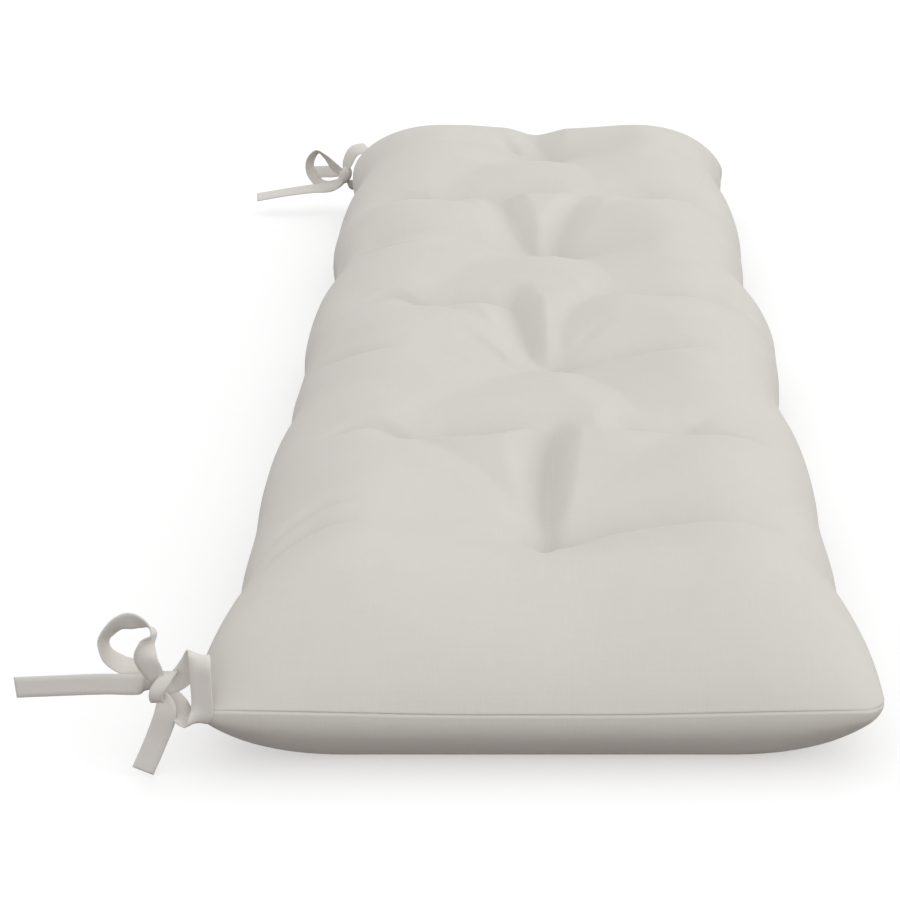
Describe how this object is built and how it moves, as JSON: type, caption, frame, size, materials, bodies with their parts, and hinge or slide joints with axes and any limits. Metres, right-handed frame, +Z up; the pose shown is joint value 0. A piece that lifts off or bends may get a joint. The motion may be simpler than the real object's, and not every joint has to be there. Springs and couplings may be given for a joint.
{
  "type": "bench cushion",
  "caption": "Long tufted bench cushion of plain woven cloth, with a crowned top, drawn-in sides and a flat ribbon tie in a bow at each back corner.",
  "frame": {"origin": "centre of the flat underside, on the surface that the cushion lies on", "axes": "+X along the cushion's length, from tie_near towards tie_far; +Y across its depth towards the back edge, where the ties are; +Z up, out of the tufted top"},
  "size_m": [1.3878, 0.5735, 0.129],
  "materials": {
    "cushion_cloth": "matt plain-weave cloth, light warm grey",
    "tie_cloth": "matt plain-weave ribbon of the same cloth, light warm grey"
  },
  "bodies": {
    "root": {"cushion": "cushion_cloth", "tie_near": "tie_cloth", "tie_far": "tie_cloth"}
  },
  "joints": []
}
